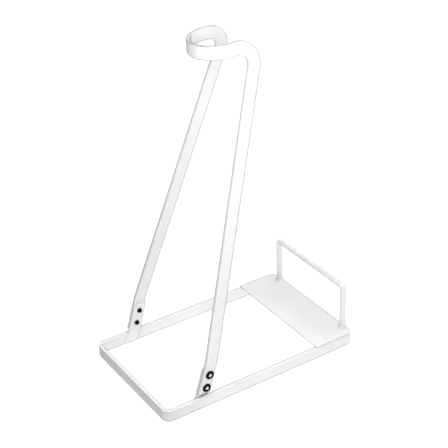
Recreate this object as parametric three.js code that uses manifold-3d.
// Headphone stand of bent flat bar, white powder coat, as a scene graph of named meshes.
//
// Units are millimetres, +Z is up. The origin is the middle of the base on the table plane:
// X runs along the base towards the tray, Y across it, and the closed end of the hoop points
// to -X. "right" is the -Y side, "left" the +Y side; "rear" is towards -X, "front" towards +X.
//
// A ring of flat bar stands on edge as the base. A thin tray sheet lies on its +X end and
// carries a bent rod guard. A thin lug is welded inside each long side of the ring.
// One long bar makes both legs and the hoop: each leg is screwed to its lug with two low-head
// screws, leans towards the tray, is folded inwards above the lug, turns edgewise at the top,
// and the two runs are joined by a half-round turn.
import * as THREE from "three";
import { mergeVertices } from "three/addons/utils/BufferGeometryUtils.js";
import Module from "manifold-3d";

const wasm = await Module();
wasm.setup();

// ---------------------------------------------------------------- driving dimensions
const BAR_W = 10; // flat bar, wide side
const BAR_T = 3; // flat bar, thin side
const EDGE = 0.35; // broken corner along every bar

const BASE_L = 182; // base ring, outside
const BASE_W = 114;
const BASE_H = BAR_W; // the ring's bar stands on edge
const BASE_R = 7; // outside corner radius
const BASE_ARC_STEPS = 10;
const RING_INNER_Y = -BASE_W / 2 + BAR_T; // inner face of the ring's right side

const TRAY_X0 = 53.5; // inner edge of the tray sheet
const TRAY_T = 1.2;
const TRAY_TOP = BASE_H + TRAY_T;

const ROD_R = 4.6 / 2; // guard rod
const ROD_SIDES = 24;
const RAIL_X = 88.5; // rod centre line
const RAIL_Z = 51.0; // height of the rail's centre line
const POST_Y = 45.4; // posts, off the middle
const ROD_BEND = 2.7; // centre-line radius at the two upper corners
const ROD_BEND_STEPS = 8;
const ARC_HANDLE = 0.5522847; // Bezier handle of a quarter circle, per unit radius
const COLLAR_R = 3.7; // weld collar at a post's foot
const COLLAR_H = 4.2;

const LEAN = 0.3176; // legs lean towards the tray: x per z
const TILT = 0.1544; // above the fold they also close in: y per z
const FOLD_Z = 40.5; // height of the fold
const FOLD_X = -47.0; // leg centre line there
const FOLD_SPAN = 5; // half length over which the fold is spread
const FOLD_STEPS = 8;
const LEG_END_Z = 13.2; // the leg's end, cut level
const LEG_Y = -BASE_W / 2 + BAR_T / 2; // right leg's centre line below the fold

const LUG_W = 10.6;
const LUG_T = 1.5; // thinner than the bar
const LUG_TOP_Z = 35;
const LUG_FOOT_Z = 0.4;
const LUG_R = 1.3; // rounded upper corners
const LUG_ARC_STEPS = 6;
const LUG_HALF_X = (LUG_W / 2) * Math.sqrt(1 + LEAN * LEAN); // level half width, as it leans
const BEAD = 1.4; // leg of the fillet weld along a lug
const BEAD_END = 0.55; // the bead's size at its two ends, as a share of BEAD
const BEAD_INSET = 0.6; // bead stops short of the lug's foot and the ring's top
const BEAD_STEPS = 6;

const SCREW_Z = { upper: 28.9, lower: 18.1 };
const SCREW_DX = 0.6; // off the leg's centre line, towards the tray
const SCREW_R = 4 / 2; // M4
const SCREW_LEN = 6; // under the head
const SCREW_CHAMFER = 0.5; // at the screw's tip
const HEAD_R = 7.2 / 2; // low head
const HEAD_H = 1.1;
const HEX_AF = 2.5; // socket, across flats
const HEX_DEPTH = 0.8;
const HOLE_D = 4.6;
const ROUND_SIDES = 32; // facets of a screw or a hole

const HOOP_W = 10.6; // the bar is pressed a little wider over the hoop
const HOOP_SCALE = HOOP_W / BAR_W;
const HOOP_Z = 271.2; // centre line of the level runs, at the half-round turn
const RUN_FALL = 0.042; // the runs drop a little towards the closed end, radians
const BEND_R = 12.8; // edgewise bend of each leg into its run, centre line
const BEND_STEPS = 20;
const TURN_X = 4; // where the half-round turn starts
const TURN_REACH = 20.8; // its reach along X
const TURN_LEAN = 0.02; // the closed end leans out at its upper edge, radians
const TURN_STEPS = 16; // over each half of the turn

const SIDES = { right: -1, left: 1 }; // sign of Y
const ENDS = { rear: -1, front: 1 }; // sign of X

// ---------------------------------------------------------------- helpers
const group = new THREE.Group();
group.name = "headphone_stand";

const white = () =>
  new THREE.MeshStandardMaterial({ color: 0xf1f1ef, roughness: 0.42, metalness: 0 });
const black = () =>
  new THREE.MeshStandardMaterial({ color: 0x101012, roughness: 0.38, metalness: 0.6 });

const vec2 = (x, y) => new THREE.Vector2(x, y);
const vec3 = (x, y, z) => new THREE.Vector3(x, y, z);

function place(name, geometry, material) {
  const mesh = new THREE.Mesh(geometry, material);
  mesh.name = name;
  group.add(mesh);
  return mesh;
}

// Places a right-hand piece and its mirror image; nameFor gives the name for a side.
function placePair(nameFor, geometry) {
  place(nameFor("right"), geometry, white());
  place(nameFor("left"), mirrorY(geometry), white());
}

function solidOf(geometry) {
  const bare = new THREE.BufferGeometry();
  bare.setAttribute("position", geometry.attributes.position.clone());
  if (geometry.index) bare.setIndex(geometry.index.clone());
  const merged = mergeVertices(bare, 1e-4);
  return new wasm.Manifold(
    new wasm.Mesh({
      numProp: 3,
      vertProperties: new Float32Array(merged.attributes.position.array),
      triVerts: new Uint32Array(merged.index.array),
    }),
  );
}

function geometryOf(solid) {
  const mesh = solid.getMesh();
  const geometry = new THREE.BufferGeometry();
  const positions = new Float32Array(mesh.vertProperties);
  geometry.setAttribute("position", new THREE.BufferAttribute(positions, 3));
  geometry.setIndex(new THREE.BufferAttribute(new Uint32Array(mesh.triVerts), 1));
  geometry.computeVertexNormals();
  return geometry;
}

// Reverses the winding of an indexed geometry.
function flipFaces(geometry) {
  const index = geometry.index.array;
  for (let i = 0; i < index.length; i += 3) {
    [index[i + 1], index[i + 2]] = [index[i + 2], index[i + 1]];
  }
  geometry.computeVertexNormals();
}

// A mirrored copy across the XZ plane, with its faces turned back out.
function mirrorY(geometry) {
  const copy = geometry.clone();
  const position = copy.attributes.position;
  for (let i = 0; i < position.count; i++) position.setY(i, -position.getY(i));
  flipFaces(copy);
  return copy;
}

// Skin through closed rings of equal point count, capped at both ends.
function loft(rings) {
  const count = rings[0].length;
  const index = [];
  for (let i = 0; i + 1 < rings.length; i++) {
    for (let j = 0; j < count; j++) {
      const a = i * count + j;
      const b = i * count + ((j + 1) % count);
      const c = a + count;
      const d = b + count;
      index.push(a, b, d, a, d, c);
    }
  }
  const last = (rings.length - 1) * count;
  for (let j = 1; j + 1 < count; j++) {
    index.push(0, j + 1, j);
    index.push(last, last + j, last + j + 1);
  }
  const geometry = new THREE.BufferGeometry();
  const positions = rings.flat().flatMap((point) => point.toArray());
  geometry.setAttribute("position", new THREE.Float32BufferAttribute(positions, 3));
  geometry.setIndex(index);
  geometry.computeVertexNormals();
  if (solidOf(geometry).volume() < 0) flipFaces(geometry);
  return geometry;
}

// Leg and lug share this leaning centre line.
const legX = (z) => FOLD_X + LEAN * (z - FOLD_Z);
const screwX = (z) => legX(z) + SCREW_DX;

// Drills both screw holes through a leg or lug centred at y.
function drillScrewHoles(solid, y) {
  let drilled = solid;
  for (const z of Object.values(SCREW_Z)) {
    const cutter = new THREE.CylinderGeometry(HOLE_D / 2, HOLE_D / 2, 3 * BAR_T, ROUND_SIDES);
    cutter.translate(screwX(z), y, z);
    drilled = drilled.subtract(solidOf(cutter));
  }
  return drilled;
}

// ---------------------------------------------------------------- base ring and tray sheet
// The two rounded corners at +X, at half length x and half width y.
function addFrontCorners(path, x, y, r) {
  path.lineTo(x - r, -y);
  path.absarc(x - r, -y + r, r, -Math.PI / 2, 0, false);
  path.lineTo(x, y - r);
  path.absarc(x - r, y - r, r, 0, Math.PI / 2, false);
}

// Rounded rectangle, centred; inset is taken off all round.
function roundedRect(path, inset) {
  const x = BASE_L / 2 - inset;
  const y = BASE_W / 2 - inset;
  const r = BASE_R - inset;
  path.moveTo(-x + r, -y);
  addFrontCorners(path, x, y, r);
  path.lineTo(-x + r, y);
  path.absarc(-x + r, y - r, r, Math.PI / 2, Math.PI, false);
  path.lineTo(-x, -y + r);
  path.absarc(-x + r, -y + r, r, Math.PI, 1.5 * Math.PI, false);
  return path;
}

function buildBaseFrame() {
  // Drawn short of its faces by EDGE; the bevel brings it out to size.
  const shape = roundedRect(new THREE.Shape(), EDGE);
  shape.holes.push(roundedRect(new THREE.Path(), BAR_T - EDGE));
  const frame = new THREE.ExtrudeGeometry(shape, {
    depth: BASE_H - 2 * EDGE,
    bevelEnabled: true,
    bevelThickness: EDGE,
    bevelSize: EDGE,
    bevelSegments: 1,
    curveSegments: BASE_ARC_STEPS,
  });
  frame.translate(0, 0, EDGE);
  place("base_frame", frame, white());
}

function buildTray() {
  const shape = new THREE.Shape();
  shape.moveTo(TRAY_X0, -BASE_W / 2);
  addFrontCorners(shape, BASE_L / 2, BASE_W / 2, BASE_R);
  shape.lineTo(TRAY_X0, BASE_W / 2);
  shape.closePath();
  const plate = new THREE.ExtrudeGeometry(shape, {
    depth: TRAY_T,
    bevelEnabled: false,
    curveSegments: BASE_ARC_STEPS,
  });
  plate.translate(0, 0, BASE_H);
  place("tray_plate", plate, white());
}

// ---------------------------------------------------------------- guard rod and weld collars
// Rod centre line: up the right post, across, and down the left post.
function railPath() {
  const postTop = RAIL_Z - ROD_BEND;
  const railEnd = POST_Y - ROD_BEND;
  const handle = ARC_HANDLE * ROD_BEND;
  const at = (y, z) => vec3(RAIL_X, y, z);
  const line = (...points) => new THREE.LineCurve3(...points);
  const bend = (...points) => new THREE.CubicBezierCurve3(...points);
  const path = new THREE.CurvePath();
  path.add(line(at(-POST_Y, TRAY_TOP), at(-POST_Y, postTop)));
  path.add(
    bend(
      at(-POST_Y, postTop),
      at(-POST_Y, postTop + handle),
      at(-railEnd - handle, RAIL_Z),
      at(-railEnd, RAIL_Z),
    ),
  );
  path.add(line(at(-railEnd, RAIL_Z), at(railEnd, RAIL_Z)));
  path.add(
    bend(
      at(railEnd, RAIL_Z),
      at(railEnd + handle, RAIL_Z),
      at(POST_Y, postTop + handle),
      at(POST_Y, postTop),
    ),
  );
  path.add(line(at(POST_Y, postTop), at(POST_Y, TRAY_TOP)));
  return path;
}

function buildGuardRail() {
  const path = railPath();
  // Stations only where the rod bends, so the straight lengths stay plain.
  const length = path.getLength();
  const reached = path.getCurveLengths();
  const stations = [0];
  for (const bend of [1, 3]) {
    const from = reached[bend - 1];
    const to = reached[bend];
    for (let i = 0; i <= ROD_BEND_STEPS; i++) {
      stations.push((from + ((to - from) * i) / ROD_BEND_STEPS) / length);
    }
  }
  stations.push(1);

  const side = vec3(1, 0, 0);
  const rings = stations.map((station) => {
    const centre = path.getPoint(station);
    const up = path.getTangent(station).cross(side);
    return Array.from({ length: ROD_SIDES }, (_, i) => {
      const angle = (2 * Math.PI * i) / ROD_SIDES;
      return centre
        .clone()
        .addScaledVector(side, ROD_R * Math.cos(angle))
        .addScaledVector(up, ROD_R * Math.sin(angle));
    });
  });
  place("guard_rail", loft(rings), white());
}

// Weld collar's section as [radius, height above the tray].
const COLLAR_PROFILE = [
  [ROD_R, 0],
  [COLLAR_R, 0],
  [COLLAR_R - 0.35, 0.35],
  [ROD_R + 0.62, 1.3],
  [ROD_R + 0.28, 2.6],
  [ROD_R + 0.1, COLLAR_H],
  [ROD_R, COLLAR_H],
  [ROD_R, 0],
];

function buildPostWelds() {
  const profile = COLLAR_PROFILE.map(([radius, height]) => vec2(radius, height));
  for (const [side, sign] of Object.entries(SIDES)) {
    const y = sign * POST_Y;
    const collar = new THREE.LatheGeometry(profile, ROD_SIDES);
    collar.rotateX(Math.PI / 2);
    collar.translate(RAIL_X, y, TRAY_TOP);
    // The collar is dressed flush with the tray's outer edge.
    const cutL = 10;
    const beyondTray = new THREE.BoxGeometry(cutL, 20, 20);
    beyondTray.translate(BASE_L / 2 + cutL / 2, y, TRAY_TOP);
    const dressed = solidOf(collar).subtract(solidOf(beyondTray));
    place("weld_post_" + side, geometryOf(dressed), white());
  }
}

// ---------------------------------------------------------------- legs and hoop: one bar
// Each station has a centre, the direction across the bar's wide side (its length scales the
// width) and the outward face normal. They run up the right leg to the middle plane.
const TILT_ANGLE = Math.atan(TILT);
const tiltedFace = (angle) => vec3(0, -Math.cos(angle), Math.sin(angle));
const UPPER_FACE = tiltedFace(TILT_ANGLE);

// The upper leg's own plane: first number along X, second up the tilted leg.
const fromLegPlane = ({ x, y }) =>
  vec3(x, y * Math.sin(TILT_ANGLE), y * Math.cos(TILT_ANGLE));
const LEG_DIR = vec2(LEAN, Math.hypot(1, TILT)).normalize();
const LEG_SIDE = vec2(-LEG_DIR.y, LEG_DIR.x);

// The length below the fold, then the fold as a smooth curve between the two straights.
function legStations() {
  const lowerAcross = vec3(-1, 0, LEAN).normalize();
  const upperAcross = fromLegPlane(LEG_SIDE);
  const stations = [
    {
      centre: vec3(legX(LEG_END_Z), LEG_Y, LEG_END_Z),
      across: lowerAcross,
      normal: tiltedFace(0),
      levelCut: true,
    },
  ];
  for (let i = 0; i <= FOLD_STEPS; i++) {
    const t = i / FOLD_STEPS;
    const z = FOLD_Z - FOLD_SPAN + 2 * FOLD_SPAN * t;
    const centre = vec3(legX(z), LEG_Y + TILT * FOLD_SPAN * t * t, z);
    const normal = tiltedFace(Math.atan(TILT * t));
    const across = lowerAcross.clone().lerp(upperAcross, t);
    across.addScaledVector(normal, -across.dot(normal)).normalize();
    stations.push({ centre, across, normal });
  }
  return stations;
}

// Edgewise bend from the leg into its run, widening on the way, up to the run's end.
function bendStations() {
  const origin = vec3(FOLD_X, LEG_Y, FOLD_Z);
  const toWorld = (point) => fromLegPlane(point).add(origin);
  const runDir = vec2(-Math.cos(RUN_FALL), -Math.sin(RUN_FALL));
  const runEnd = vec2(TURN_X - FOLD_X, (HOOP_Z - FOLD_Z) / Math.cos(TILT_ANGLE));
  // Distance up the leg to where its line meets the run's line.
  const toCorner = runEnd.cross(runDir) / LEG_DIR.cross(runDir);
  const sweep = LEG_DIR.angleTo(runDir);
  const toStart = toCorner - BEND_R * Math.tan(sweep / 2);
  const bendCentre = LEG_DIR.clone().multiplyScalar(toStart).addScaledVector(LEG_SIDE, BEND_R);

  const stations = [];
  for (let i = 0; i <= BEND_STEPS; i++) {
    const t = i / BEND_STEPS;
    const inward = LEG_SIDE.clone().rotateAround(vec2(0, 0), sweep * t);
    const widening = 1 + (HOOP_SCALE - 1) * THREE.MathUtils.smoothstep(t, 0, 1);
    stations.push({
      centre: toWorld(bendCentre.clone().addScaledVector(inward, -BEND_R)),
      across: fromLegPlane(inward).multiplyScalar(widening),
      normal: UPPER_FACE,
    });
  }
  const { across } = stations.at(-1);
  stations.push({ centre: toWorld(runEnd), across, normal: UPPER_FACE });
  return stations;
}

// Right half of the half-round turn, a quarter ellipse from the run's end to the middle plane.
function turnStations(runEnd) {
  const start = runEnd.centre;
  const startAcross = runEnd.across.clone().normalize();
  const endAcross = vec3(Math.sin(TURN_LEAN), 0, -Math.cos(TURN_LEAN));
  const halfWidth = -start.y;
  const fall = Math.tan(RUN_FALL);
  const stations = [];
  for (let i = 1; i <= TURN_STEPS; i++) {
    const angle = (Math.PI / 2) * (i / TURN_STEPS);
    const sin = Math.sin(angle);
    const cos = Math.cos(angle);
    const reach = TURN_REACH * sin;
    const centre = vec3(start.x - reach, -halfWidth * cos, start.z - reach * fall);
    const dx = -TURN_REACH * cos;
    const tangent = vec3(dx, halfWidth * sin, dx * fall).normalize();
    const across = startAcross.clone().lerp(endAcross, sin ** 2);
    across.addScaledVector(tangent, -across.dot(tangent)).normalize();
    const normal = tangent.clone().cross(across).normalize();
    stations.push({ centre, across: across.multiplyScalar(HOOP_SCALE), normal });
  }
  return stations;
}

// The bar's section with broken corners, as [across, through] pairs.
const SECTION = [
  [-BAR_W / 2 + EDGE, -BAR_T / 2],
  [BAR_W / 2 - EDGE, -BAR_T / 2],
  [BAR_W / 2, -BAR_T / 2 + EDGE],
  [BAR_W / 2, BAR_T / 2 - EDGE],
  [BAR_W / 2 - EDGE, BAR_T / 2],
  [-BAR_W / 2 + EDGE, BAR_T / 2],
  [-BAR_W / 2, BAR_T / 2 - EDGE],
  [-BAR_W / 2, -BAR_T / 2 + EDGE],
];

function barRing({ centre, across, normal, levelCut }) {
  return SECTION.map(([wide, through]) => {
    const point = centre.clone().addScaledVector(across, wide).addScaledVector(normal, through);
    if (levelCut) {
      // Slide the corner along the leaning bar to the level cut.
      point.x += LEAN * (LEG_END_Z - point.z);
      point.z = LEG_END_Z;
    }
    return point;
  });
}

function buildHoop() {
  const stations = [...legStations(), ...bendStations()];
  stations.push(...turnStations(stations.at(-1)));
  const rightRings = stations.map(barRing);
  const leftRings = rightRings
    .slice(0, -1)
    .reverse()
    .map((ring) => ring.map(({ x, y, z }) => vec3(x, -y, z)));
  let hoop = solidOf(loft([...rightRings, ...leftRings]));
  for (const y of [LEG_Y, -LEG_Y]) hoop = drillScrewHoles(hoop, y);
  place("upright_hoop", geometryOf(hoop), white());
}

// ---------------------------------------------------------------- lugs and their weld beads
// Points of the arc that rounds a corner of a counterclockwise outline.
function cornerArc(before, corner, after) {
  const toBefore = before.clone().sub(corner).normalize();
  const toAfter = after.clone().sub(corner).normalize();
  const half = toBefore.angleTo(toAfter) / 2;
  const centre = toBefore.clone().add(toAfter).setLength(LUG_R / Math.sin(half)).add(corner);
  const start = corner.clone().addScaledVector(toBefore, LUG_R / Math.tan(half));
  const sweep = Math.PI - 2 * half;
  return Array.from({ length: LUG_ARC_STEPS + 1 }, (_, i) =>
    start.clone().rotateAround(centre, (sweep * i) / LUG_ARC_STEPS),
  );
}

function buildLugs() {
  // Outline in X and Z, cut level at head and foot.
  const corner = (end, z) => vec2(legX(z) + end * LUG_HALF_X, z);
  const footRear = corner(ENDS.rear, LUG_FOOT_Z);
  const footFront = corner(ENDS.front, LUG_FOOT_Z);
  const headFront = corner(ENDS.front, LUG_TOP_Z);
  const headRear = corner(ENDS.rear, LUG_TOP_Z);
  const shape = new THREE.Shape([
    footRear,
    footFront,
    ...cornerArc(footFront, headFront, headRear),
    ...cornerArc(headFront, headRear, footRear),
  ]);
  const blank = new THREE.ExtrudeGeometry(shape, { depth: LUG_T, bevelEnabled: false });
  blank.rotateX(Math.PI / 2); // the outline stands up, depth runs to -Y
  blank.translate(0, RING_INNER_Y + LUG_T, 0);
  const lug = drillScrewHoles(solidOf(blank), RING_INNER_Y + LUG_T / 2);
  placePair((side) => `lug_${side}`, geometryOf(lug));
}

// Weld bead's section as [off the lug's edge, off the ring's inner face], in bead legs.
const BEAD_SECTION = [
  [0, 0],
  [1, 0],
  [0.62, 0.42],
  [0.28, 0.8],
  [0, 1],
];

// Fillet welds between a lug's long edges and the ring's inner face.
function buildLugWelds() {
  const bottom = LUG_FOOT_Z + BEAD_INSET;
  const top = BASE_H - BEAD_INSET;
  for (const [end, sign] of Object.entries(ENDS)) {
    const rings = [];
    for (let i = 0; i <= BEAD_STEPS; i++) {
      const z = bottom + ((top - bottom) * i) / BEAD_STEPS;
      const size = BEAD * (i === 0 || i === BEAD_STEPS ? BEAD_END : 1);
      const lugEdge = legX(z) + sign * LUG_HALF_X;
      rings.push(
        BEAD_SECTION.map(([offLug, offRing]) =>
          vec3(lugEdge + sign * size * offLug, RING_INNER_Y + size * offRing, z),
        ),
      );
    }
    placePair((side) => `weld_lug_${side}_${end}`, loft(rings));
  }
}

// ---------------------------------------------------------------- low-head screws
// Screw's section as [radius, height above the head's seat].
const SCREW_PROFILE = [
  [0, -SCREW_LEN],
  [SCREW_R - SCREW_CHAMFER, -SCREW_LEN],
  [SCREW_R, -SCREW_LEN + SCREW_CHAMFER],
  [SCREW_R, 0],
  [HEAD_R, 0],
  [HEAD_R, 0.45],
  [HEAD_R * 0.975, 0.66],
  [HEAD_R * 0.92, 0.84],
  [HEAD_R * 0.83, 0.98],
  [HEAD_R * 0.72, HEAD_H - 0.04],
  [HEAD_R * 0.6, HEAD_H],
  [0, HEAD_H],
];

// One screw, its axis along Y and its head towards +Y.
function screwGeometry() {
  const profile = SCREW_PROFILE.map(([radius, height]) => vec2(radius, height));
  const body = new THREE.LatheGeometry(profile, ROUND_SIDES);
  const hexR = HEX_AF / Math.sqrt(3);
  const socket = new THREE.CylinderGeometry(hexR, hexR, 2 * HEX_DEPTH, 6);
  socket.translate(0, HEAD_H, 0);
  return geometryOf(solidOf(body).subtract(solidOf(socket)));
}

function buildScrews() {
  const geometry = screwGeometry();
  for (const [side, sign] of Object.entries(SIDES)) {
    for (const [level, z] of Object.entries(SCREW_Z)) {
      const screw = place(`screw_${side}_${level}`, geometry.clone(), black());
      if (side === "right") screw.rotation.x = Math.PI; // head towards -Y
      screw.position.set(screwX(z), sign * (BASE_W / 2), z);
    }
  }
}

buildBaseFrame();
buildTray();
buildGuardRail();
buildPostWelds();
buildHoop();
buildLugs();
buildLugWelds();
buildScrews();

export default group;
